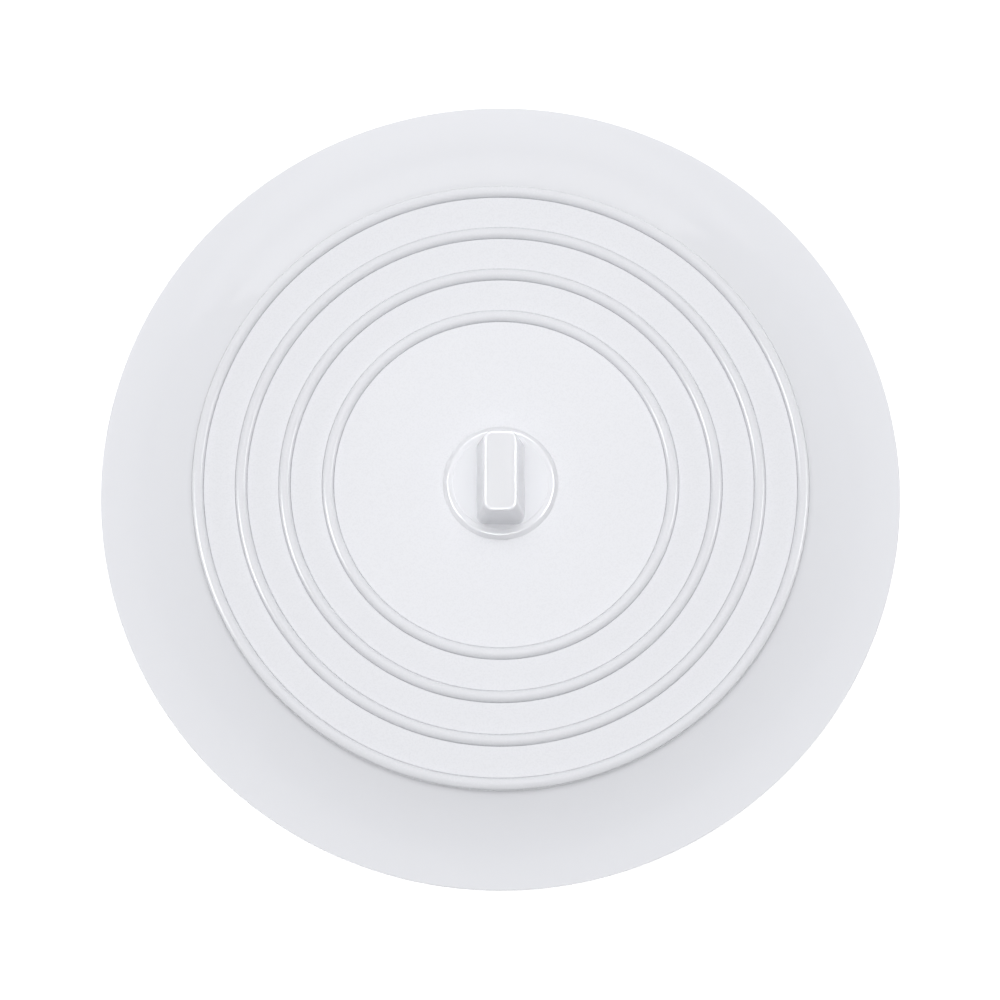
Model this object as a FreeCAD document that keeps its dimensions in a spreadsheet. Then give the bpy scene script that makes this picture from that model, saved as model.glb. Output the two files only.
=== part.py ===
"""Flat suction drain stopper in white silicone.

Millimetres, +Z up, origin at the centre of the sealing face that lies on the bath or sink floor.
A thin flared skirt carries a stiffer deck. Four half-round bead rings sit in grooves of the deck, and a
finger knob snaps into a blind socket in its middle, so that no hole lets water through.
"""
import FreeCAD, Part
import math
import os
import Sketcher

# Driving dimensions: name, size in millimetres, what it measures
DIMENSIONS = [
    ("rim_radius", 76.2, "centre to the outer edge of the rim"),
    ("rim_thickness", 0.8, "rim at its outer edge"),
    ("rim_nose_radius", 0.35, "rounded upper corner of the rim"),
    ("skirt_width", 17.8, "deck's edge to the outer edge of the rim"),
    ("seal_land", 3.0, "width of the flat ring that seals on the floor"),
    ("flare_hollow", 0.85, "depth of the hollow curve of the skirt's upper face"),
    ("underside_hollow", 0.35, "depth of the hollow curve of the skirt's lower face"),
    ("lap_width", 2.4, "skirt flange that laps under the deck's edge"),
    ("lap_flat", 1.5, "flat underside of that flange"),
    ("deck_height", 8.0, "sealing face to the top of the deck"),
    ("deck_thickness", 3.0, "deck from its underside to its top"),
    ("deck_edge", 1.0, "deck's edge above the skirt flange"),
    ("deck_margin", 0.1, "deck that shows outside the outer bead"),
    ("bead_pitch", 8.2, "one bead to the next"),
    ("bead_width", 2.2, "bead across, where it meets the deck"),
    ("bead_height", 1.05, "bead above the deck"),
    ("bead_shoulder", 0.5, "flat underside of the bead on each side of its tongue"),
    ("tongue_depth", 0.5, "bead's tongue below the deck's top"),
    ("socket_wall", 1.9, "socket wall round the knob's bulb"),
    ("socket_flange", 3.0, "socket flange beyond its barrel, bonded under the deck"),
    ("socket_flange_thickness", 1.8, "that flange below the deck's underside"),
    ("socket_floor", 1.2, "closed bottom of the socket"),
    ("neck_length", 1.3, "narrow mouth of the socket that holds the bulb back"),
    ("stem_radius", 3.5, "knob stem in the socket's mouth"),
    ("bulb_lip", 1.5, "knob bulb beyond its stem"),
    ("bulb_rim", 0.9, "straight band of the bulb above its tapered tip"),
    ("foot_radius", 11.0, "round foot of the knob"),
    ("foot_height", 1.0, "foot from its underside to its top"),
    ("foot_edge_radius", 0.9, "rounded upper edge of the foot"),
    ("foot_ledge", 2.85, "foot that shows beyond each end of the grip"),
    ("grip_width", 9.1, "grip across, where it meets the foot"),
    ("grip_height", 11.0, "grip above the foot"),
    ("grip_side_inset", 1.45, "how far each side leans in up to the top"),
    ("grip_end_inset", 0.5, "how far each end leans in up to the top"),
    ("grip_foot_corner", 1.8, "rounded upright corners of the grip at the foot"),
    ("grip_top_corner", 1.2, "rounded upright corners of the grip at the top"),
    ("grip_edge_radius", 0.5, "rounded edge round the top of the grip"),
    ("grip_root_fillet", 0.4, "fillet between grip and foot"),
    ("fit_clearance", 0.05, "bonded pieces: beads, deck, skirt and socket"),
    ("running_clearance", 0.05, "knob in its socket and above the deck"),
    ("end_clearance", 0.1, "play of the bulb along the stem"),
]
BEAD_NAMES = ["bead_ring_inner", "bead_ring_second", "bead_ring_third", "bead_ring_outer"]

# Sizes that follow from the driving dimensions
DECK_RADIUS = "(dims.rim_radius - dims.skirt_width)"
OUTER_BEAD = f"({DECK_RADIUS} - dims.deck_margin - dims.bead_width / 2)"
DECK_UNDERSIDE = "(dims.deck_height - dims.deck_thickness)"
LAP_RADIUS = f"({DECK_RADIUS} - dims.lap_width)"
LAP_TOP = "(dims.deck_height - dims.deck_edge)"
BULB_RADIUS = "(dims.stem_radius + dims.bulb_lip)"
BULB_BORE = f"({BULB_RADIUS} + dims.running_clearance)"
BARREL_RADIUS = f"({BULB_BORE} + dims.socket_wall)"
GRIP_HALF_LENGTH = "(dims.foot_radius - dims.foot_ledge)"

# A quarter circle stands this share of its radius off its chord
QUARTER_RISE = 1 - math.sqrt(0.5)
# A rounding takes at most this share of the wall that it is on
MOST_OF_WALL = 0.9
SAME_PLACE = 1e-6

doc = FreeCAD.newDocument("drain_stopper")
sheet = doc.addObject("Spreadsheet::Sheet", "dims")
for row, (alias, size, meaning) in enumerate(DIMENSIONS, start=1):
    sheet.set(f"A{row}", meaning)
    sheet.set(f"B{row}", str(size))
    sheet.setAlias(f"B{row}", alias)
doc.recompute()


def new_body(name, seat_height):
    """A sub-part drawn from its own seat plane, which lies at seat_height."""
    body = doc.addObject("PartDesign::Body", name)
    body.Label = name
    body.setExpression("Placement.Base.z", seat_height)
    return body


def new_sketch(body, name, role, height="0"):
    """An empty sketch on one of the body's own planes, raised along the plane's normal."""
    plane = next(feature for feature in body.Origin.OriginFeatures if feature.Role == role)
    sketch = body.newObject("Sketcher::SketchObject", name)
    sketch.AttachmentSupport = (plane, "")
    sketch.MapMode = "FlatFace"
    sketch.setExpression("AttachmentOffset.Base.z", height)
    return sketch


def arc_between(first, last, rise):
    """The arc from first to last that stands rise off its chord, to the left of the way there."""
    chord = last - first
    left = FreeCAD.Vector(-chord.y, chord.x, 0).normalize()
    return Part.Arc(first, (first + last) * 0.5 + left * rise, last)


def bind_corner(sketch, edge, end, corner):
    """Ties one end of an edge to the two expressions of its corner."""
    for kind, axis, expression in (("DistanceX", -2, corner[0]), ("DistanceY", -1, corner[1])):
        place = float(sketch.evalExpression(expression))
        if abs(place) < SAME_PLACE:
            sketch.addConstraint(Sketcher.Constraint("PointOnObject", edge, end, axis))
        elif place > 0:
            index = sketch.addConstraint(Sketcher.Constraint(kind, -1, 1, edge, end, place))
            sketch.setExpression(f"Constraints[{index}]", expression)
        else:
            index = sketch.addConstraint(Sketcher.Constraint(kind, edge, end, -1, 1, -place))
            sketch.setExpression(f"Constraints[{index}]", f"-({expression})")


def bind_radius(sketch, edge, corner, after):
    """Ties an arc's radius to its rise and to the corners that it joins."""
    rise = f"abs({corner[2]})"
    chord_squared = f"((({corner[0]}) - ({after[0]}))^2 + (({corner[1]}) - ({after[1]}))^2)"
    radius = f"{rise} / 2 + {chord_squared} / (8 * {rise})"
    value = float(sketch.evalExpression(radius))
    index = sketch.addConstraint(Sketcher.Constraint("Radius", edge, value))
    sketch.setExpression(f"Constraints[{index}]", radius)


def draw(sketch, outline):
    """Draws a closed outline of corners (x, y); a third entry is the rise of the arc to the next corner."""
    places = []
    for corner in outline:
        places.append(FreeCAD.Vector(*(float(sketch.evalExpression(part)) for part in corner[:2]), 0))
    next_corners = outline[1:] + outline[:1]
    next_places = places[1:] + places[:1]
    edges = []
    for corner, first, last in zip(outline, places, next_places):
        line = Part.LineSegment(first, last)
        if len(corner) == 3:
            line = arc_between(first, last, float(sketch.evalExpression(corner[2])))
        edge = sketch.addGeometry(line, False)
        forward = sketch.getPoint(edge, 1).distanceToPoint(first) < SAME_PLACE
        edges.append((edge, 1, 2) if forward else (edge, 2, 1))
    next_edges = edges[1:] + edges[:1]
    for corner, after, (edge, start, end), (other, other_start, _) in zip(
            outline, next_corners, edges, next_edges):
        sketch.addConstraint(Sketcher.Constraint("Coincident", edge, end, other, other_start))
        bind_corner(sketch, edge, start, corner)
        if len(corner) == 3:
            bind_radius(sketch, edge, corner, after)


def turn(body, kind, name, outlines):
    """A full turn of one or more outlines about the upright axis."""
    sketch = new_sketch(body, f"{name}_section", "XZ_Plane")
    for outline in outlines:
        draw(sketch, outline)
    feature = body.newObject(kind, name)
    feature.Profile = sketch
    feature.ReferenceAxis = (sketch, ["V_Axis"])
    feature.Angle = 360
    doc.recompute()
    return feature


def round_edges(body, name, base, chosen, radius):
    """Rounds those edges of a feature whose box passes the test chosen."""
    names = []
    for number, edge in enumerate(base.Shape.Edges, start=1):
        if chosen(edge.BoundBox):
            names.append(f"Edge{number}")
    if not names:
        raise RuntimeError(f"{name} finds no edge to round")
    fillet = body.newObject("PartDesign::Fillet", name)
    fillet.Base = (base, names)
    fillet.setExpression("Radius", radius)
    doc.recompute()
    return fillet


def lies_at(box, height):
    """Whether an edge lies flat at a height."""
    return abs(box.ZMin - height) < SAME_PLACE and abs(box.ZMax - height) < SAME_PLACE


def make_sealing_skirt():
    """Thin flared skirt: a flange under the deck's edge, a hollow slope and a flat sealing land."""
    body = new_body("sealing_skirt", "0")
    skirt = turn(body, "PartDesign::Revolution", "skirt", [[
        (LAP_RADIUS, DECK_UNDERSIDE),
        (f"{LAP_RADIUS} + dims.lap_flat", DECK_UNDERSIDE, "-dims.underside_hollow"),
        ("dims.rim_radius - dims.seal_land", "0"),
        ("dims.rim_radius", "0"),
        ("dims.rim_radius", "dims.rim_thickness", "dims.flare_hollow"),
        (DECK_RADIUS, LAP_TOP),
        (LAP_RADIUS, LAP_TOP),
    ]])
    rim_radius = sheet.rim_radius
    rim_top = sheet.rim_thickness
    round_edges(
        body, "rim_nose", skirt,
        lambda box: lies_at(box, rim_top) and box.XMax > rim_radius - SAME_PLACE,
        f"min(dims.rim_nose_radius; {MOST_OF_WALL} * dims.rim_thickness)")
    return body


def bead_radius(number):
    """Middle of a bead, counted from the inner one; the outer one sits at the deck's edge."""
    return f"({OUTER_BEAD} - {len(BEAD_NAMES) - 1 - number} * dims.bead_pitch)"


def make_deck_plate():
    """Stiff middle plate with a stepped edge, a groove for each bead and a hole for the socket."""
    body = new_body("deck_plate", DECK_UNDERSIDE)
    hole = f"{BARREL_RADIUS} + dims.fit_clearance"
    step_radius = f"{LAP_RADIUS} - dims.fit_clearance"
    step_height = "dims.deck_thickness - dims.deck_edge"
    plate = turn(body, "PartDesign::Revolution", "plate", [[
        (hole, "0"),
        (step_radius, "0"),
        (step_radius, step_height),
        (DECK_RADIUS, step_height),
        (DECK_RADIUS, "dims.deck_thickness"),
        (hole, "dims.deck_thickness"),
    ]])
    half_groove = "(dims.bead_width / 2 - dims.bead_shoulder + dims.fit_clearance)"
    floor = "dims.deck_thickness - dims.tongue_depth - dims.fit_clearance"
    grooves = []
    for number in range(len(BEAD_NAMES)):
        inner = f"{bead_radius(number)} - {half_groove}"
        outer = f"{bead_radius(number)} + {half_groove}"
        grooves.append([
            (inner, floor),
            (outer, floor),
            (outer, "dims.deck_thickness"),
            (inner, "dims.deck_thickness"),
        ])
    grooved = turn(body, "PartDesign::Groove", "bead_grooves", grooves)
    if not grooved.Shape.Volume < plate.Shape.Volume:
        raise RuntimeError("the bead grooves cut nothing")
    return body


def make_bead_ring(number, name):
    """Half-round ring on the deck, with a tongue in the deck's groove."""
    body = new_body(name, "dims.deck_height")
    inner = f"{bead_radius(number)} - dims.bead_width / 2"
    outer = f"{bead_radius(number)} + dims.bead_width / 2"
    tongue = "-dims.tongue_depth"
    turn(body, "PartDesign::Revolution", f"{name}_turned", [[
        (inner, "0"),
        (f"{inner} + dims.bead_shoulder", "0"),
        (f"{inner} + dims.bead_shoulder", tongue),
        (f"{outer} - dims.bead_shoulder", tongue),
        (f"{outer} - dims.bead_shoulder", "0"),
        (outer, "0", "-dims.bead_height"),
    ]])
    return body


def make_knob_socket():
    """Blind bush bonded into the deck from below; its narrow mouth holds the knob's bulb."""
    body = new_body("knob_socket", DECK_UNDERSIDE)
    flange_radius = f"{BARREL_RADIUS} + dims.socket_flange"
    bottom = "-dims.socket_flange_thickness"
    floor = f"{bottom} + dims.socket_floor"
    mouth_radius = "dims.stem_radius + dims.running_clearance"
    mouth = "dims.deck_thickness - dims.end_clearance"
    catch = f"{mouth} - dims.neck_length"
    turn(body, "PartDesign::Revolution", "bush", [[
        ("0", bottom),
        (flange_radius, bottom),
        (flange_radius, "0"),
        (BARREL_RADIUS, "0"),
        (BARREL_RADIUS, mouth),
        (mouth_radius, mouth),
        (mouth_radius, catch),
        (BULB_BORE, catch),
        (BULB_BORE, floor),
        ("0", floor),
    ]])
    return body


def draw_grip_section(body, name, height, side_inset, end_inset, corner):
    """Level rounded rectangle of the grip, its long way along Y."""
    half_width = f"(dims.grip_width / 2 - {side_inset})"
    half_length = f"({GRIP_HALF_LENGTH} - {end_inset})"
    straight_x = f"({half_width} - {corner})"
    straight_y = f"({half_length} - {corner})"
    bend = f"-{QUARTER_RISE} * {corner}"
    sketch = new_sketch(body, name, "XY_Plane", height)
    draw(sketch, [
        (f"-{straight_x}", f"-{half_length}"),
        (straight_x, f"-{half_length}", bend),
        (half_width, f"-{straight_y}"),
        (half_width, straight_y, bend),
        (straight_x, half_length),
        (f"-{straight_x}", half_length, bend),
        (f"-{half_width}", straight_y),
        (f"-{half_width}", f"-{straight_y}", bend),
    ])
    return sketch


def make_pull_knob():
    """Finger knob in one piece: stem with a bulb, round foot and tapered grip bar."""
    body = new_body("pull_knob", "dims.deck_height + dims.running_clearance")
    catch = "(-dims.running_clearance - dims.end_clearance - dims.neck_length)"
    bulb_top = f"({catch} - dims.end_clearance)"
    socket_bottom = "(-dims.running_clearance - dims.deck_thickness - dims.socket_flange_thickness)"
    tip = f"({socket_bottom} + dims.socket_floor + dims.end_clearance)"
    turned = turn(body, "PartDesign::Revolution", "stem_and_foot", [[
        ("0", tip),
        ("dims.stem_radius", tip),
        (BULB_RADIUS, f"{bulb_top} - dims.bulb_rim"),
        (BULB_RADIUS, bulb_top),
        ("dims.stem_radius", bulb_top),
        ("dims.stem_radius", "0"),
        ("dims.foot_radius", "0"),
        ("dims.foot_radius", "dims.foot_height"),
        ("0", "dims.foot_height"),
    ]])
    foot_radius = sheet.foot_radius
    foot_top = sheet.foot_height
    grip_top = sheet.foot_height + sheet.grip_height
    round_edges(
        body, "foot_edge", turned,
        lambda box: lies_at(box, foot_top) and box.XMax > foot_radius - SAME_PLACE,
        f"min(dims.foot_edge_radius; {MOST_OF_WALL} * dims.foot_height)")
    grip = body.newObject("PartDesign::AdditiveLoft", "grip")
    grip.Profile = draw_grip_section(
        body, "grip_foot_section", "dims.foot_height", "0", "0", "dims.grip_foot_corner")
    grip.Sections = [draw_grip_section(
        body, "grip_top_section", "dims.foot_height + dims.grip_height",
        "dims.grip_side_inset", "dims.grip_end_inset", "dims.grip_top_corner")]
    grip.Ruled = True
    doc.recompute()
    rounded = round_edges(
        body, "grip_top_edge", grip,
        lambda box: lies_at(box, grip_top),
        f"min(dims.grip_edge_radius; {MOST_OF_WALL} * dims.grip_top_corner)")
    reach = float(body.evalExpression(GRIP_HALF_LENGTH)) + SAME_PLACE
    round_edges(
        body, "grip_root", rounded,
        lambda box: lies_at(box, foot_top) and max(box.XMax, box.YMax, -box.XMin, -box.YMin) < reach,
        "dims.grip_root_fillet")
    return body


bodies = [make_sealing_skirt(), make_deck_plate(), make_knob_socket(), make_pull_knob()]
for ring_number, ring_name in enumerate(BEAD_NAMES):
    bodies.append(make_bead_ring(ring_number, ring_name))
doc.recompute()

for thing in doc.Objects:
    if "Invalid" in thing.State or "Error" in thing.State:
        raise RuntimeError(f"{thing.Label} failed: {thing.State}")
for sub_part in bodies:
    shape = sub_part.Shape
    if shape.isNull() or not shape.isValid() or len(shape.Solids) != 1:
        raise RuntimeError(f"{sub_part.Label} is not one valid solid")

os.makedirs("parts", exist_ok=True)
for sub_part in bodies:
    sub_part.Shape.exportStep(f"parts/{sub_part.Label}.step")
    box = sub_part.Shape.optimalBoundingBox(False, False)
    print(f"{sub_part.Label}: {sub_part.Shape.Volume:.1f} mm3, "
          f"{box.XLength:.2f} x {box.YLength:.2f} mm, z {box.ZMin:.2f} to {box.ZMax:.2f} mm")
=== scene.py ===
# %% [markdown]
# # A white silicone drain stopper
# The object is a flat suction stopper: a thin flared skirt, a stiffer deck with four raised beads, and a
# finger knob in the middle. Almost everything on it is turned about one upright axis, so most cells here
# draw a half section and spin it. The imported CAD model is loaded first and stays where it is. Every new
# piece is drawn in metres in that same frame, so nothing has to be fitted afterwards.

# %% Load the frame
import math

import bmesh
import bpy
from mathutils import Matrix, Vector


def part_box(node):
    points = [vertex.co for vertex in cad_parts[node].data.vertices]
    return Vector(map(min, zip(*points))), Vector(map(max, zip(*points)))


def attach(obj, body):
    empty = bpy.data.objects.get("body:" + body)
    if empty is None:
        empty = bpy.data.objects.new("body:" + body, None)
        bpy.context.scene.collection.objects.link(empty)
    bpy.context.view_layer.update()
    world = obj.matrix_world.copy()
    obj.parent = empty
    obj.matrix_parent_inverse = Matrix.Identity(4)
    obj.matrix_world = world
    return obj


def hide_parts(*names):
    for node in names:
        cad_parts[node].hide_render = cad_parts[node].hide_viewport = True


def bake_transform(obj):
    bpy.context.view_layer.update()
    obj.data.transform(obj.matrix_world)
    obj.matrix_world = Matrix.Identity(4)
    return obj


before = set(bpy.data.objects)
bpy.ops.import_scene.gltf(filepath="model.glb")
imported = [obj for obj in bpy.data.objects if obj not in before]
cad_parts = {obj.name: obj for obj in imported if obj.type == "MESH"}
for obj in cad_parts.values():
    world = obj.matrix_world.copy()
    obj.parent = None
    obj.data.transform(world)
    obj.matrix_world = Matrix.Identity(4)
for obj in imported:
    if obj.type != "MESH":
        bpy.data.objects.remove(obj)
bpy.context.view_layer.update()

# %% [markdown]
# ## Sizes
# A maker reads sizes off the part instead of typing them again. Each CAD node's box gives its radius and
# its heights. What a box can't tell, such as the width of a bead, is named here in millimetres.

# %% Read the sizes
MM = 0.001

rim_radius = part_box("sealing_skirt")[1][0]
flange_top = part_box("sealing_skirt")[1][2]
deck_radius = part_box("deck_plate")[1][0]
deck_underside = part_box("deck_plate")[0][2]
deck_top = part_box("deck_plate")[1][2]
foot_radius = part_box("pull_knob")[1][0]
knob_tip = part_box("pull_knob")[0][2]
grip_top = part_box("pull_knob")[1][2]
socket_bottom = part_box("knob_socket")[0][2]
socket_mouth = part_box("knob_socket")[1][2]
socket_flange_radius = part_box("knob_socket")[1][0]
print(f"rim {rim_radius / MM:.2f} mm, deck {deck_radius / MM:.2f} mm, top {grip_top / MM:.2f} mm")

# %% [markdown]
# ## Camera
# The photograph looks almost straight down, from about twelve degrees in front of the upright axis,
# through a long lens. A long lens far away keeps the circles nearly round. The aim is a point just in
# front of the middle, which puts the rim where the photograph has it without any lens shift.

# %% Place the camera
CAMERA_TILT = math.radians(11.86)
CAMERA_DISTANCE = 762 * MM
CAMERA_LENS_MM = 143.8
SENSOR_WIDTH_MM = 36
AIM = Vector((-0.1 * MM, -1.55 * MM, 0))

camera_data = bpy.data.cameras.new("photo_camera")
camera_data.lens = CAMERA_LENS_MM
camera_data.sensor_width = SENSOR_WIDTH_MM
camera = bpy.data.objects.new("photo_camera", camera_data)
towards_camera = Vector((0, -math.sin(CAMERA_TILT), math.cos(CAMERA_TILT)))
camera.location = AIM + CAMERA_DISTANCE * towards_camera
camera.rotation_euler = (CAMERA_TILT, 0, 0)
bpy.context.scene.collection.objects.link(camera)
bpy.context.scene.camera = camera
print("camera at", [round(value, 4) for value in camera.location])

# %% [markdown]
# ## White silicone
# Moulded silicone is satin: it scatters most light just under its skin, and its gloss is broken up by
# the fine spark-eroded texture of the mould. One function makes the finish, and each piece gets its own
# colour, gloss and grain. A soft noise clouds the colour, and a much finer one, the grain, drives both
# the gloss and the bump. The colour is also painted lighter or darker with the distance from the middle,
# as painted light and shade. Painted shade makes the outer part of the deck and the beads a little
# darker, and the deck next to the knob a shade darker. On the skirt, painted shade lies near the deck and
# painted light lies towards the rim, where the skirt lies on a pale floor. Each list of painted light and
# shade holds radii, each with its share of the full colour. All of this reads Object coordinates, so it
# stays on the piece when the piece moves.

# %% Define the silicone finish
SILICONE_IOR = 1.41
GLOW_DEPTH = 0.6 * MM
GLOW_REACH = (1.0, 1.0, 1.0)
MOTTLE = 0.0012
MOTTLE_SIZE = 1.6 * MM
SHEEN_CHANGE = 0.03
GRAIN_SIZE = 0.3 * MM
NOISE_DETAIL = 2.0
NOISE_LOW = 0.3
NOISE_HIGH = 0.7


def noise(nodes, links, coordinates, size):
    """A noise whose lumps are about size across."""
    texture = nodes.new("ShaderNodeTexNoise")
    texture.inputs["Scale"].default_value = 1 / size
    texture.inputs["Detail"].default_value = NOISE_DETAIL
    links.new(coordinates, texture.inputs["Vector"])
    return texture.outputs["Fac"]


def spread(nodes, links, value, low, high):
    """The middle of a noise stretched over the range from low to high."""
    ranged = nodes.new("ShaderNodeMapRange")
    ranged.inputs["From Min"].default_value = NOISE_LOW
    ranged.inputs["From Max"].default_value = NOISE_HIGH
    ranged.inputs["To Min"].default_value = low
    ranged.inputs["To Max"].default_value = high
    links.new(value, ranged.inputs["Value"])
    return ranged.outputs["Result"]


def paint_light_and_shade(nodes, links, coordinates, colour, painted_light_and_shade):
    """A colour painted lighter or darker with the distance from the upright axis, as painted light and
    shade.
    """
    flat = nodes.new("ShaderNodeVectorMath")
    flat.operation = "MULTIPLY"
    flat.inputs[1].default_value = (1 / rim_radius, 1 / rim_radius, 0)
    distance = nodes.new("ShaderNodeVectorMath")
    distance.operation = "LENGTH"
    ramp = nodes.new("ShaderNodeValToRGB")
    stops = ramp.color_ramp.elements
    for extra in painted_light_and_shade[2:]:
        stops.new(extra[0] / rim_radius)
    for stop, (radius, share) in zip(stops, painted_light_and_shade):
        stop.position = radius / rim_radius
        stop.color = (share, share, share, 1)
    painted_light_and_shade_mix = nodes.new("ShaderNodeMix")
    painted_light_and_shade_mix.data_type = "RGBA"
    painted_light_and_shade_mix.blend_type = "MULTIPLY"
    painted_light_and_shade_mix.inputs["Factor"].default_value = 1
    links.new(coordinates, flat.inputs[0])
    links.new(flat.outputs["Vector"], distance.inputs[0])
    links.new(distance.outputs["Value"], ramp.inputs["Fac"])
    links.new(colour, painted_light_and_shade_mix.inputs["A"])
    links.new(ramp.outputs["Color"], painted_light_and_shade_mix.inputs["B"])
    return painted_light_and_shade_mix.outputs["Result"]


def silicone(name, colour, roughness, grain_depth, glow, painted_light_and_shade=None):
    """Satin silicone with a soft mottle, a moulded grain, a little light under its skin, and painted light
    and shade by radius where given.
    """
    material = bpy.data.materials.new(name)
    material.use_nodes = True
    nodes, links = material.node_tree.nodes, material.node_tree.links
    shader = nodes["Principled BSDF"]
    shader.inputs["IOR"].default_value = SILICONE_IOR
    shader.inputs["Subsurface Weight"].default_value = glow
    shader.inputs["Subsurface Radius"].default_value = GLOW_REACH
    shader.inputs["Subsurface Scale"].default_value = GLOW_DEPTH
    place = nodes.new("ShaderNodeTexCoord").outputs["Object"]

    mottle = nodes.new("ShaderNodeMix")
    mottle.data_type = "RGBA"
    mottle.inputs["A"].default_value = (*[channel * (1 - MOTTLE) for channel in colour], 1)
    mottle.inputs["B"].default_value = (*[channel * (1 + MOTTLE) for channel in colour], 1)
    clouds = noise(nodes, links, place, MOTTLE_SIZE)
    links.new(spread(nodes, links, clouds, 0, 1), mottle.inputs["Factor"])
    clouded = mottle.outputs["Result"]
    # Painted light and shade: the colour is made lighter or darker with the distance from the middle.
    if painted_light_and_shade:
        clouded = paint_light_and_shade(nodes, links, place, clouded, painted_light_and_shade)
    links.new(clouded, shader.inputs["Base Color"])

    grain = noise(nodes, links, place, GRAIN_SIZE)
    sheen = spread(nodes, links, grain, roughness + SHEEN_CHANGE, roughness - SHEEN_CHANGE)
    links.new(sheen, shader.inputs["Roughness"])
    bump = nodes.new("ShaderNodeBump")
    bump.inputs["Distance"].default_value = grain_depth
    links.new(grain, bump.inputs["Height"])
    links.new(bump.outputs["Normal"], shader.inputs["Normal"])
    return material


print("grain", round(GRAIN_SIZE / MM, 2), "mm, mottle", round(MOTTLE_SIZE / MM, 2), "mm")

# %% [markdown]
# ## One finish for each kind of piece
# The skirt and the knob are the glossiest, the deck is satin, and the beads carry a deeper grain, which
# frosts them. The socket is a harder and duller plastic, but the same function will do for it, with less
# light under the skin.

# %% Make the finishes
COOL_WHITE = (0.84, 0.848, 0.884)
DECK_WHITE = (0.865, 0.873, 0.909)
PLASTIC_WHITE = (0.78, 0.785, 0.80)
# Painted shade on the deck and the beads: darker from 29 mm outwards, and a shade darker next to the knob.
# Painted shade and painted light on the skirt: darker near the deck and lighter towards the rim.
DECK_AND_BEAD_PAINTED_SHADE = [(12 * MM, 0.99), (20 * MM, 1.0), (29 * MM, 1.0), (36 * MM, 0.974), (56 * MM, 0.963)]
SKIRT_PAINTED_LIGHT_AND_SHADE = [(67 * MM, 0.978), (73 * MM, 1.0), (76 * MM, 1.01)]

skirt_silicone = silicone(
    "skirt_silicone", COOL_WHITE, roughness=0.09, grain_depth=0.0004 * MM, glow=0.15, painted_light_and_shade=SKIRT_PAINTED_LIGHT_AND_SHADE)
deck_silicone = silicone(
    "deck_silicone", DECK_WHITE, roughness=0.28, grain_depth=0.0008 * MM, glow=0.15, painted_light_and_shade=DECK_AND_BEAD_PAINTED_SHADE)
bead_silicone = silicone(
    "bead_silicone", COOL_WHITE, roughness=0.26, grain_depth=0.014 * MM, glow=0.15, painted_light_and_shade=DECK_AND_BEAD_PAINTED_SHADE)
# The knob's white is about three percent darker than the deck's white: painted shade that darkens its flank
# and its walls.
knob_silicone = silicone("knob_silicone", COOL_WHITE, roughness=0.16, grain_depth=0.0004 * MM, glow=0.1)
socket_plastic = silicone("socket_plastic", PLASTIC_WHITE, roughness=0.5, grain_depth=0.006 * MM, glow=0.05)
print("finishes:", [material.name for material in bpy.data.materials])

# %% [markdown]
# ## A lathe in Geometry Nodes
# Skirt, deck and socket are turned parts: one half section swept round a circle. Spin in edit mode would
# do it once, but a node tree keeps the section editable and is shared by all three. The tree takes the
# object's own curve, drawn as radius along X and height along Z, lays it down as a profile, sweeps it
# round a circle and merges the points that meet at the start and on the axis.

# %% Build the lathe tree
LATHE_STEPS = 288
MERGE_DISTANCE = 0.001 * MM


def new_tree(name, sizes):
    """An empty Geometry Nodes tree with named inputs; returns the tree and its end nodes."""
    tree = bpy.data.node_groups.new(name, "GeometryNodeTree")
    tree.interface.new_socket("Geometry", in_out="INPUT", socket_type="NodeSocketGeometry")
    for label, kind in sizes:
        tree.interface.new_socket(label, in_out="INPUT", socket_type=kind)
    tree.interface.new_socket("Material", in_out="INPUT", socket_type="NodeSocketMaterial")
    tree.interface.new_socket("Geometry", in_out="OUTPUT", socket_type="NodeSocketGeometry")
    return tree, tree.nodes.new("NodeGroupInput"), tree.nodes.new("NodeGroupOutput")


def end_tree(tree, start, mesh, finish):
    """Closes a tree: merged seams, smooth faces, real geometry and a material."""
    merge = tree.nodes.new("GeometryNodeMergeByDistance")
    merge.inputs["Distance"].default_value = MERGE_DISTANCE
    smooth = tree.nodes.new("GeometryNodeSetShadeSmooth")
    realize = tree.nodes.new("GeometryNodeRealizeInstances")
    paint = tree.nodes.new("GeometryNodeSetMaterial")
    tree.links.new(mesh, merge.inputs["Geometry"])
    tree.links.new(merge.outputs["Geometry"], smooth.inputs["Geometry"])
    tree.links.new(smooth.outputs["Geometry"], realize.inputs["Geometry"])
    tree.links.new(realize.outputs["Geometry"], paint.inputs["Geometry"])
    tree.links.new(start.outputs["Material"], paint.inputs["Material"])
    tree.links.new(paint.outputs["Geometry"], finish.inputs["Geometry"])


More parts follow.
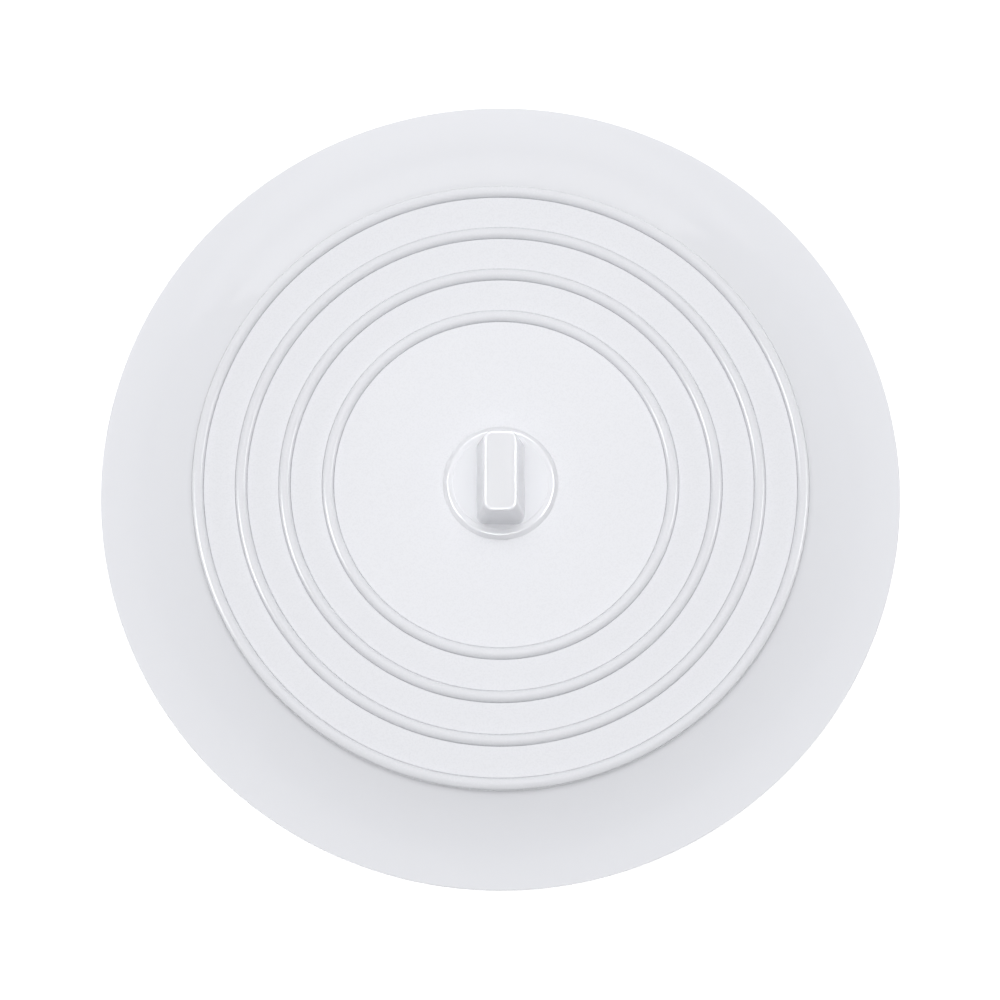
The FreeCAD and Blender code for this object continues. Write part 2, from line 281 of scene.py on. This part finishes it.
def build_lathe():
    """Sweeps the object's own curve, a half section in XZ, round the upright axis."""
    tree, start, finish = new_tree("lathe", [
        ("Path Radius", "NodeSocketFloat"), ("Steps", "NodeSocketInt")])
    path = tree.nodes.new("GeometryNodeCurvePrimitiveCircle")
    inward = tree.nodes.new("ShaderNodeMath")
    inward.operation = "MULTIPLY"
    inward.inputs[1].default_value = -1
    offset = tree.nodes.new("ShaderNodeCombineXYZ")
    lay_down = tree.nodes.new("GeometryNodeTransform")
    lay_down.inputs["Rotation"].default_value = (math.pi / 2, 0, 0)
    sweep = tree.nodes.new("GeometryNodeCurveToMesh")
    tree.links.new(start.outputs["Path Radius"], path.inputs["Radius"])
    tree.links.new(start.outputs["Steps"], path.inputs["Resolution"])
    tree.links.new(start.outputs["Path Radius"], inward.inputs[0])
    tree.links.new(inward.outputs[0], offset.inputs["X"])
    tree.links.new(offset.outputs["Vector"], lay_down.inputs["Translation"])
    tree.links.new(start.outputs["Geometry"], lay_down.inputs["Geometry"])
    tree.links.new(path.outputs["Curve"], sweep.inputs["Curve"])
    tree.links.new(lay_down.outputs["Geometry"], sweep.inputs["Profile Curve"])
    end_tree(tree, start, sweep.outputs["Mesh"], finish)
    return tree


def set_input(modifier, label, value):
    """Sets a tree's input by the identifier of the socket with that label."""
    for item in modifier.node_group.interface.items_tree:
        if item.item_type == "SOCKET" and item.in_out == "INPUT" and item.name == label:
            modifier[item.identifier] = value
            return
    raise KeyError(label)


def as_plain_mesh(name, source, tree, material, **sizes):
    """Runs a tree on a source object and returns its result as a plain mesh object."""
    modifier = source.modifiers.new("tree", "NODES")
    modifier.node_group = tree
    for label, value in sizes.items():
        set_input(modifier, label.replace("_", " "), value)
    set_input(modifier, "Material", material)
    bpy.context.scene.collection.objects.link(source)
    depsgraph = bpy.context.evaluated_depsgraph_get()
    mesh = bpy.data.meshes.new_from_object(source.evaluated_get(depsgraph), depsgraph=depsgraph)
    bpy.data.objects.remove(source)
    mesh.name = name
    piece = bpy.data.objects.new(name, mesh)
    bpy.context.scene.collection.objects.link(piece)
    print(f"{name}: {len(mesh.vertices)} points, {len(mesh.polygons)} faces")
    return piece


lathe = build_lathe()
print("lathe inputs:", [item.name for item in lathe.interface.items_tree])

# %% [markdown]
# ## Half sections
# A section is a list of corners, walked clockwise with the radius to the right and the height up, so
# that the faces come out pointing outwards. A corner may be rounded, and two corners may be joined by an
# arc that stands a given rise off the straight line between them. Moulded edges are never knife sharp,
# and the small rounds catch the light that makes an edge read as soft.

# %% Section helpers
ARC_STEPS = 24
ROUND_STEPS = 6
HOLD_SHARE = 0.2
SHARP_EDGE = math.radians(35)


def arc(first, last, rise, steps=ARC_STEPS):
    """Points from first to last on an arc that stands rise to the left of the way there."""
    first, last = Vector(first), Vector(last)
    chord = last - first
    left = Vector((-chord.y, chord.x)).normalized()
    radius = abs(rise) / 2 + chord.length_squared / (8 * abs(rise))
    centre = (first + last) / 2 + left * (rise - math.copysign(radius, rise))
    half_angle = math.asin(min(1, chord.length / 2 / radius))
    middle = math.atan2(*(left * math.copysign(1, rise)).yx)
    turn = -math.copysign(1, rise)
    points = []
    for step in range(steps + 1):
        angle = middle - turn * half_angle + turn * 2 * half_angle * step / steps
        points.append(centre + radius * Vector((math.cos(angle), math.sin(angle))))
    return points


def rounded(before, corner, after, radius, steps=ROUND_STEPS):
    """Points of a round in place of a corner, with a point held on the straight run at each end."""
    before, corner, after = Vector(before), Vector(corner), Vector(after)
    back = (before - corner).normalized()
    ahead = (after - corner).normalized()
    half = back.angle(ahead) / 2
    reach = radius / math.tan(half)
    centre = corner + (back + ahead).normalized() * radius / math.sin(half)
    start = (corner + back * reach - centre).normalized()
    end = (corner + ahead * reach - centre).normalized()
    points = [corner + back * (reach + HOLD_SHARE * radius)]
    points += [centre + start.slerp(end, step / steps) * radius for step in range(steps + 1)]
    points.append(corner + ahead * (reach + HOLD_SHARE * radius))
    return points


def section_curve(name, points, closed=True):
    """A poly curve in XZ through the section's points."""
    curve = bpy.data.curves.new(name, "CURVE")
    curve.dimensions = "3D"
    spline = curve.splines.new("POLY")
    spline.points.add(len(points) - 1)
    for point, (radius, height) in zip(spline.points, points):
        point.co = (radius, 0, height, 1)
    spline.use_cyclic_u = closed
    return bpy.data.objects.new(name, curve)


def turned(name, points, material, closed=True):
    """A turned piece from its half section."""
    source = section_curve(f"{name}_section", points, closed)
    piece = as_plain_mesh(name, source, lathe, material, Path_Radius=rim_radius, Steps=LATHE_STEPS)
    piece.data.set_sharp_from_angle(angle=SHARP_EDGE)
    return piece


print("an arc has", ARC_STEPS, "steps, a round", ROUND_STEPS)

# %% [markdown]
# ## The sealing skirt
# The skirt is thin and flares out in a hollow curve from under the deck's edge to a flat land that seals
# on the floor. It is the part that bends: pressing or pulling the middle moves its inner edge while the
# rim stays down. A rigid piece would tear away there. Here the skirt is attached to no body, and its
# place is baked into its points.

# %% Make the skirt
RIM_THICKNESS = 0.8 * MM
RIM_ROUND = 0.2 * MM
SEAL_LAND = 3.0 * MM
FLARE_STEPS = 32
FLARE_RIM_SHARE = 0.45
FLARE_POWER = 3.1
COVE_WIDTH = 1.0 * MM
COVE_DROP = 0.84 * MM
COVE_HOLLOW = 0.03 * MM
UNDERSIDE_HOLLOW = 0.35 * MM
LAP_WIDTH = 2.4 * MM
LAP_FLAT = 1.5 * MM

lap_radius = deck_radius - LAP_WIDTH
rim_top = (rim_radius, RIM_THICKNESS)
rim_foot = (rim_radius, 0)
cove_foot = (deck_radius + COVE_WIDTH, flange_top - COVE_DROP)
cove = arc((deck_radius, flange_top), cove_foot, -COVE_HOLLOW, ROUND_STEPS)
flare = []
for step in range(FLARE_STEPS + 1):
    share = 1 - step / FLARE_STEPS
    climb = FLARE_RIM_SHARE * share + (1 - FLARE_RIM_SHARE) * share ** FLARE_POWER
    flare.append(Vector((
        rim_top[0] + (cove_foot[0] - rim_top[0]) * share,
        rim_top[1] + (cove_foot[1] - rim_top[1]) * climb)))
nose = rounded(flare[-2], rim_top, rim_foot, RIM_ROUND)
land_inner = (rim_radius - SEAL_LAND, 0)
hollow = arc(land_inner, (lap_radius + LAP_FLAT, deck_underside), UNDERSIDE_HOLLOW)
skirt_points = [(lap_radius, flange_top)] + cove + flare[1:-1] + nose + [rim_foot] + hollow
skirt_points.append((lap_radius, deck_underside))
skirt = turned("silicone_skirt", skirt_points, skirt_silicone)
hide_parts("sealing_skirt")
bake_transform(skirt)

# %% [markdown]
# ## The deck
# The deck is a flat plate. Each bead lies in a shallow trough that is a hair wider than the bead, and
# that hair shows in the photograph as a thin dark line along both edges of every ring. The trough is real
# geometry here, because a painted line would not darken and lighten with the light.

# %% Make the deck
BEAD_NODES = ["bead_ring_inner", "bead_ring_second", "bead_ring_third", "bead_ring_outer"]
BEAD_WIDTH = 2.2 * MM
SEAM_GAP = 0.055 * MM
SEAM_DEPTH = 0.35 * MM
SEAM_ROUND = 0.05 * MM
SEAM_STEPS = 3
FIT_CLEARANCE = 0.05 * MM
SOCKET_BARREL = 6.95 * MM

bead_middles = [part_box(node)[1][0] - BEAD_WIDTH / 2 for node in BEAD_NODES]
trough_half = BEAD_WIDTH / 2 + SEAM_GAP
trough_floor = deck_top - SEAM_DEPTH
hole_radius = SOCKET_BARREL + FIT_CLEARANCE
spigot_radius = lap_radius - FIT_CLEARANCE

deck_points = [(hole_radius, deck_top)]
for middle in bead_middles:
    inner, outer = middle - trough_half, middle + trough_half
    inner_edge, inner_foot = (inner, deck_top), (inner, trough_floor)
    outer_edge, outer_foot = (outer, deck_top), (outer, trough_floor)
    deck_points += rounded((0, deck_top), inner_edge, inner_foot, SEAM_ROUND, SEAM_STEPS)
    deck_points.append(inner_foot)
    if outer < deck_radius:
        deck_points.append(outer_foot)
        deck_points += rounded(outer_foot, outer_edge, (rim_radius, deck_top), SEAM_ROUND, SEAM_STEPS)
deck_points += [
    (deck_radius, trough_floor),
    (deck_radius, flange_top),
    (spigot_radius, flange_top),
    (spigot_radius, deck_underside),
    (hole_radius, deck_underside),
]
deck = turned("silicone_deck", deck_points, deck_silicone)
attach(deck, "deck")
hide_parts("deck_plate")

# %% [markdown]
# ## The bead rings
# Four equal beads repeat at one pitch. A node tree with the ring's radius, width and height as inputs
# makes any of them: an arc through three points is the bead's section, closed underneath, and it is
# swept round a circle. The arc starts a little below the deck, so the bead swells out of its trough like
# a cord.

# %% Make the beads
BEAD_SECTION_STEPS = 28


def build_bead_tree():
    """A round bead on a ring: an arc section swept round a circle at a height."""
    tree, start, finish = new_tree("bead_ring", [
        ("Ring Radius", "NodeSocketFloat"), ("Half Width", "NodeSocketFloat"),
        ("Crest", "NodeSocketFloat"), ("Sunk", "NodeSocketFloat"),
        ("Deck Height", "NodeSocketFloat"), ("Steps", "NodeSocketInt")])
    path = tree.nodes.new("GeometryNodeCurvePrimitiveCircle")
    section = tree.nodes.new("GeometryNodeCurveArc")
    section.mode = "POINTS"
    section.inputs["Resolution"].default_value = BEAD_SECTION_STEPS
    left = tree.nodes.new("ShaderNodeCombineXYZ")
    crest = tree.nodes.new("ShaderNodeCombineXYZ")
    right = tree.nodes.new("ShaderNodeCombineXYZ")
    minus_half = tree.nodes.new("ShaderNodeMath")
    minus_crest = tree.nodes.new("ShaderNodeMath")
    for negate, label in ((minus_half, "Half Width"), (minus_crest, "Crest")):
        negate.operation = "MULTIPLY"
        negate.inputs[1].default_value = -1
        tree.links.new(start.outputs[label], negate.inputs[0])
    tree.links.new(minus_half.outputs[0], left.inputs["X"])
    tree.links.new(start.outputs["Sunk"], left.inputs["Y"])
    tree.links.new(minus_crest.outputs[0], crest.inputs["Y"])
    tree.links.new(start.outputs["Half Width"], right.inputs["X"])
    tree.links.new(start.outputs["Sunk"], right.inputs["Y"])
    for corner, label in ((left, "Start"), (crest, "Middle"), (right, "End")):
        tree.links.new(corner.outputs["Vector"], section.inputs[label])
    close = tree.nodes.new("GeometryNodeSetSplineCyclic")
    close.inputs["Cyclic"].default_value = True
    sweep = tree.nodes.new("GeometryNodeCurveToMesh")
    lift = tree.nodes.new("GeometryNodeTransform")
    raised = tree.nodes.new("ShaderNodeCombineXYZ")
    tree.links.new(start.outputs["Ring Radius"], path.inputs["Radius"])
    tree.links.new(start.outputs["Steps"], path.inputs["Resolution"])
    tree.links.new(section.outputs["Curve"], close.inputs["Geometry"])
    tree.links.new(path.outputs["Curve"], sweep.inputs["Curve"])
    tree.links.new(close.outputs["Geometry"], sweep.inputs["Profile Curve"])
    tree.links.new(start.outputs["Deck Height"], raised.inputs["Z"])
    tree.links.new(raised.outputs["Vector"], lift.inputs["Translation"])
    tree.links.new(sweep.outputs["Mesh"], lift.inputs["Geometry"])
    end_tree(tree, start, lift.outputs["Geometry"], finish)
    return tree


bead_tree = build_bead_tree()
beads = []
for node, middle in zip(BEAD_NODES, bead_middles):
    source = bpy.data.objects.new(f"{node}_source", bpy.data.meshes.new(f"{node}_source"))
    bead = as_plain_mesh(
        f"silicone_{node}", source, bead_tree, bead_silicone,
        Ring_Radius=middle, Half_Width=BEAD_WIDTH / 2, Crest=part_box(node)[1][2] - deck_top,
        Sunk=SEAM_DEPTH - FIT_CLEARANCE, Deck_Height=deck_top, Steps=LATHE_STEPS)
    bead.data.set_sharp_from_angle(angle=SHARP_EDGE)
    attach(bead, "deck")
    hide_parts(node)
    beads.append(bead)

# %% [markdown]
# ## Loops for the pull knob
# The knob isn't turned: a tapered bar grows out of a round foot. It is built as a stack of level loops
# with the same number of points, round ones for the stem and the foot and rounded rectangles for the
# grip. Every loop has its points at the same angles, so the quads between a circle and a rectangle don't
# twist.

# %% Define the knob's loops
KNOB_STEPS = 288
FOOT_HEIGHT = 1.0 * MM
KNOB_SEAT = 0.05 * MM
GRIP_WIDTH = 9.1 * MM
FOOT_LEDGE = 2.85 * MM
SIDE_INSET = 1.4 * MM
END_INSET = 0.5 * MM
FOOT_CORNER = 1.7 * MM
TOP_CORNER = 1.9 * MM

knob_seat = deck_top + KNOB_SEAT
foot_top = knob_seat + FOOT_HEIGHT
angles = [2 * math.pi * step / KNOB_STEPS for step in range(KNOB_STEPS)]


def circle_loop(radius, height):
    """A level circle."""
    return [Vector((radius * math.cos(angle), radius * math.sin(angle), height)) for angle in angles]


def reach_of_bar(angle, half_x, half_y, corner):
    """Distance from the middle to the edge of a rounded rectangle, along an angle."""
    across, along = abs(math.cos(angle)), abs(math.sin(angle))
    straight_x, straight_y = half_x - corner, half_y - corner
    if along * half_x <= straight_y * across:
        return half_x / across
    if across * half_y <= straight_x * along:
        return half_y / along
    to_centre = across * straight_x + along * straight_y
    centre_squared = straight_x ** 2 + straight_y ** 2
    return to_centre + math.sqrt(to_centre ** 2 - centre_squared + corner ** 2)


def bar_loop(height, outset):
    """A level rounded rectangle of the tapered grip, grown sideways by outset."""
    share = (height - foot_top) / (grip_top - foot_top)
    half_x = GRIP_WIDTH / 2 - SIDE_INSET * share + outset
    half_y = foot_radius - FOOT_LEDGE - END_INSET * share + outset
    corner = FOOT_CORNER + (TOP_CORNER - FOOT_CORNER) * share + outset
    loop = []
    for angle in angles:
        reach = reach_of_bar(angle, half_x, half_y, corner)
        loop.append(Vector((reach * math.cos(angle), reach * math.sin(angle), height)))
    return loop


def quarter(steps=ROUND_STEPS):
    """Angles of a quarter turn."""
    return [math.pi / 2 * step / steps for step in range(steps + 1)]


print(f"knob from {knob_tip / MM:.2f} to {grip_top / MM:.2f} mm, foot's top at {foot_top / MM:.2f} mm")

# %% [markdown]
# ## The knob's stack
# From the bottom up the stack goes through the bulb, the stem, the foot and the grip. The foot's edge is
# a small half section of its own: a steep flank, a round shoulder, and a fine step just inside it. The
# fillet at the grip's root and the round along its top edge are extra loops.

# %% Stack the knob's loops
STEM_RADIUS = 3.5 * MM
BULB_RADIUS = 5.0 * MM
BULB_BAND = 0.9 * MM
BULB_TOP = 1.55 * MM
FOOT_TRIM = 0.1 * MM
FLANK_WIDTH = 0.84 * MM
SHOULDER_ROUND = 0.6 * MM
STEP_RADIUS = 9.0 * MM
STEP_WIDTH = 0.05 * MM
STEP_DROP = 0.1 * MM
STEP_ROUND = 0.02 * MM
TOP_ROUND = 0.6 * MM
ROOT_FILLET = 0.06 * MM
HOLD = 0.05 * MM
WALL_LOOPS = 6

foot_edge = foot_radius - FOOT_TRIM
bulb_top = knob_seat - BULB_TOP
loops = [
    circle_loop(STEM_RADIUS, knob_tip),
    circle_loop(BULB_RADIUS, bulb_top - BULB_BAND),
    circle_loop(BULB_RADIUS, bulb_top),
    circle_loop(STEM_RADIUS, bulb_top),
    circle_loop(STEM_RADIUS, knob_seat),
    circle_loop(foot_edge, knob_seat),
]
flank_foot = (foot_edge, knob_seat)
shoulder = (foot_edge - FLANK_WIDTH, foot_top - STEP_DROP)
step_foot = (STEP_RADIUS + STEP_WIDTH, foot_top - STEP_DROP)
step_top = (STEP_RADIUS, foot_top)
foot_section = rounded(flank_foot, shoulder, step_foot, SHOULDER_ROUND)
foot_section += rounded(shoulder, step_foot, step_top, STEP_ROUND)
foot_section += rounded(step_foot, step_top, (0, foot_top), STEP_ROUND)
for radius, height in foot_section:
    loops.append(circle_loop(radius, height))
loops.append(bar_loop(foot_top, ROOT_FILLET + HOLD))
for turn in quarter():
    height = foot_top + ROOT_FILLET * (1 - math.cos(turn))
    loops.append(bar_loop(height, ROOT_FILLET * (1 - math.sin(turn))))
wall_low, wall_high = foot_top + ROOT_FILLET, grip_top - TOP_ROUND
for step in range(1, WALL_LOOPS):
    loops.append(bar_loop(wall_low + (wall_high - wall_low) * step / WALL_LOOPS, 0))
for turn in quarter():
    height = wall_high + TOP_ROUND * math.sin(turn)
    loops.append(bar_loop(height, -TOP_ROUND * (1 - math.cos(turn))))
loops.append(bar_loop(grip_top, -TOP_ROUND - HOLD))
print("the knob's stack has", len(loops), "loops")

# %% [markdown]
# ## The knob's mesh
# Neighbouring loops are joined by quads, and a fan of triangles closes each end. Only edges that turn by
# more than the sharp angle are kept sharp, so the rounds shade smoothly and the bulb's catch stays crisp.

# %% Make the knob
shape = bmesh.new()
rings = [[shape.verts.new(point) for point in loop] for loop in loops]
for lower, upper in zip(rings, rings[1:]):
    for step in range(KNOB_STEPS):
        after = (step + 1) % KNOB_STEPS
        shape.faces.new((lower[step], lower[after], upper[after], upper[step]))
for ring, height in ((rings[0], knob_tip), (rings[-1], grip_top)):
    pole = shape.verts.new((0, 0, height))
    for step in range(KNOB_STEPS):
        shape.faces.new((ring[step], ring[(step + 1) % KNOB_STEPS], pole))
bmesh.ops.recalc_face_normals(shape, faces=shape.faces)
for face in shape.faces:
    face.smooth = True
knob_mesh = bpy.data.meshes.new("silicone_knob")
shape.to_mesh(knob_mesh)
shape.free()
knob_mesh.set_sharp_from_angle(angle=SHARP_EDGE)
knob_mesh.materials.append(knob_silicone)
knob = bpy.data.objects.new("silicone_knob", knob_mesh)
bpy.context.scene.collection.objects.link(knob)
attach(knob, "knob")
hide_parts("pull_knob")
print(f"silicone_knob: {len(knob_mesh.vertices)} points, {len(knob_mesh.polygons)} faces")

# %% [markdown]
# ## The socket
# The socket only shows from below, as a round plastic button in the middle of the deck. It is one more
# turned piece, closed at the bottom, with softened edges and the blind bore that holds the knob's bulb.
# The small dimple in the middle of the button is where the plastic was let into the mould. Such a gate
# mark is sunk, so that its stub never stands proud.

# %% Make the socket
SOCKET_ROUND = 0.5 * MM
GATE_RADIUS = 1.6 * MM
GATE_DEPTH = 0.3 * MM
GATE_ROUND = 0.12 * MM
STUB_RADIUS = 0.5 * MM
STUB_HEIGHT = 0.2 * MM
SOCKET_FLOOR = 1.2 * MM
NECK_LENGTH = 1.3 * MM
NECK_RADIUS = 3.55 * MM
BORE_RADIUS = 5.05 * MM

flange_low = (socket_flange_radius, socket_bottom)
flange_high = (socket_flange_radius, deck_underside)
catch = socket_mouth - NECK_LENGTH
socket_points = [
    (0, socket_bottom + SOCKET_FLOOR),
    (BORE_RADIUS, socket_bottom + SOCKET_FLOOR),
    (BORE_RADIUS, catch),
    (NECK_RADIUS, catch),
    (NECK_RADIUS, socket_mouth),
    (SOCKET_BARREL, socket_mouth),
    (SOCKET_BARREL, deck_underside),
    flange_high,
]
socket_points += rounded(flange_high, flange_low, (0, socket_bottom), SOCKET_ROUND)
gate_rim = (GATE_RADIUS, socket_bottom)
gate_wall = (GATE_RADIUS, socket_bottom + GATE_DEPTH)
stub_wall = (STUB_RADIUS, socket_bottom + GATE_DEPTH)
stub_end = (STUB_RADIUS, socket_bottom + GATE_DEPTH - STUB_HEIGHT)
socket_points += rounded(flange_low, gate_rim, gate_wall, GATE_ROUND)
socket_points += rounded(gate_rim, gate_wall, stub_wall, GATE_ROUND)
socket_points += [stub_wall, stub_end, (0, stub_end[1])]
socket = turned("plastic_socket", socket_points, socket_plastic, closed=False)
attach(socket, "deck")
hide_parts("knob_socket")

# %% [markdown]
# ## Floor
# The photograph is a product shot on pure white. A pale floor that is lit a little past white gives that
# background. It lies a hair below the stopper, so that the two never share a face.

# %% Make the floor
FLOOR_SIZE = 6.0
FLOOR_DROP = 0.1 * MM
FLOOR_COLOUR = (0.92, 0.92, 0.92, 1)
FLOOR_ROUGHNESS = 0.9
FLOOR_GLOW = 0.4
WHITE = (1, 1, 1, 1)

half = FLOOR_SIZE / 2
corners = [(-half, -half), (half, -half), (half, half), (-half, half)]
floor_mesh = bpy.data.meshes.new("floor")
floor_mesh.from_pydata([(x, y, -FLOOR_DROP) for x, y in corners], [], [(0, 1, 2, 3)])
floor = bpy.data.objects.new("floor", floor_mesh)
bpy.context.scene.collection.objects.link(floor)
floor_material = bpy.data.materials.new("pale_floor")
floor_material.use_nodes = True
floor_shader = floor_material.node_tree.nodes["Principled BSDF"]
floor_shader.inputs["Base Color"].default_value = FLOOR_COLOUR
floor_shader.inputs["Roughness"].default_value = FLOOR_ROUGHNESS
floor_shader.inputs["Emission Color"].default_value = WHITE
floor_shader.inputs["Emission Strength"].default_value = FLOOR_GLOW
floor_mesh.materials.append(floor_material)
print("floor:", FLOOR_SIZE, "m wide")

# %% [markdown]
# ## Light
# Studio photographers light form and gloss separately, and so does this cell. The form lights are large
# softboxes overhead and behind, with low strips at the sides, and they leave no reflection. Slopes that
# fall towards the viewer are the darkest, as they are in the photograph. The gloss cards are only seen
# as reflections: the back cards show in the far side of the skirt, and cards of their own give the knob
# its bright edges and the beads their streaks. Light linking keeps such a card's shine to its own
# pieces, and a bounce limit of zero keeps it from being passed on. The knob's cards stand at a middling
# height: lower ones turn its flat tops white in low views, and higher ones lighten the grip's walls.

# %% Make the lights
WORLD_LIGHT = 0.3


def softbox(name, azimuth, elevation, distance, size, power):
    """A rectangular area light on a dome round the object, which looks at the middle of the deck."""
    data = bpy.data.lights.new(name, "AREA")
    data.shape = "RECTANGLE"
    data.size, data.size_y = size
    data.energy = power
    light = bpy.data.objects.new(name, data)
    turn, rise = math.radians(azimuth), math.radians(elevation)
    outward = Vector((math.cos(rise) * math.cos(turn), math.cos(rise) * math.sin(turn), math.sin(rise)))
    light.location = outward * distance
    aim = Vector((0, 0, deck_top)) - light.location
    light.rotation_euler = aim.to_track_quat("-Z", "Y").to_euler()
    bpy.context.scene.collection.objects.link(light)
    return light


def shine_only_on(light, pieces):
    """Lets a light reach some pieces and no others."""
    receivers = bpy.data.collections.new(f"{light.name}_receivers")
    for piece in pieces:
        receivers.objects.link(piece)
    light.light_linking.receiver_collection = receivers


def gloss_card(row, pieces=None):
    """A softbox that is only seen in reflections, by every piece or by the given ones."""
    card = softbox(*row)
    card.visible_diffuse = False
    card.data.cycles.max_bounces = 0
    if pieces:
        shine_only_on(card, pieces)


# Each row: name, azimuth and elevation in degrees, distance and size in metres, power in watts.
FORM_LIGHTS = [
    ("overhead_softbox", 90, 86, 1.4, (1.2, 1.2), 9.5),
    ("key_softbox", 90, 80, 1.4, (0.5, 0.5), 4.3),
    ("back_softbox", 90, 65, 1.4, (1.2, 0.6), 0.7),
    ("left_strip", 180, 10, 1.2, (1.2, 0.3), 1.2),
    ("right_strip", 0, 10, 1.2, (1.2, 0.3), 0.85),
]
GLOSS_CARDS = [
    ("low_back_card", 97, 20, 1.3, (1.78, 0.6), 4.0),
    ("high_back_card", 97, 44, 1.3, (1.4, 0.5), 1.4),
    ("overhead_card", 90, 78, 1.33, (1.6, 1.6), 2.0),
]
KNOB_CARDS = [
    ("knob_left_card", 182, 48, 1.2, (0.9, 0.6), 40.0),
    ("knob_right_card", 0, 48, 1.2, (0.9, 0.6), 48.0),
    ("knob_back_card", 90, 47, 1.2, (0.9, 0.6), 32.0),
    ("knob_front_card", 270, 48, 1.2, (0.9, 0.5), 30.0),
]
BEAD_CARDS = [
    ("bead_left_card", 184, 26, 1.2, (0.4, 0.3), 15.0),
    ("bead_right_card", 4, 26, 1.2, (0.4, 0.3), 7.0),
]

for row in FORM_LIGHTS:
    softbox(*row).visible_glossy = False
for row in GLOSS_CARDS:
    gloss_card(row)
for row in KNOB_CARDS:
    gloss_card(row, [knob])
for row in BEAD_CARDS:
    gloss_card(row, beads)

world = bpy.data.worlds.new("studio")
world.use_nodes = True
background = world.node_tree.nodes["Background"]
background.inputs["Color"].default_value = WHITE
background.inputs["Strength"].default_value = WORLD_LIGHT
bpy.context.scene.world = world
bpy.context.scene.view_settings.view_transform = "Standard"
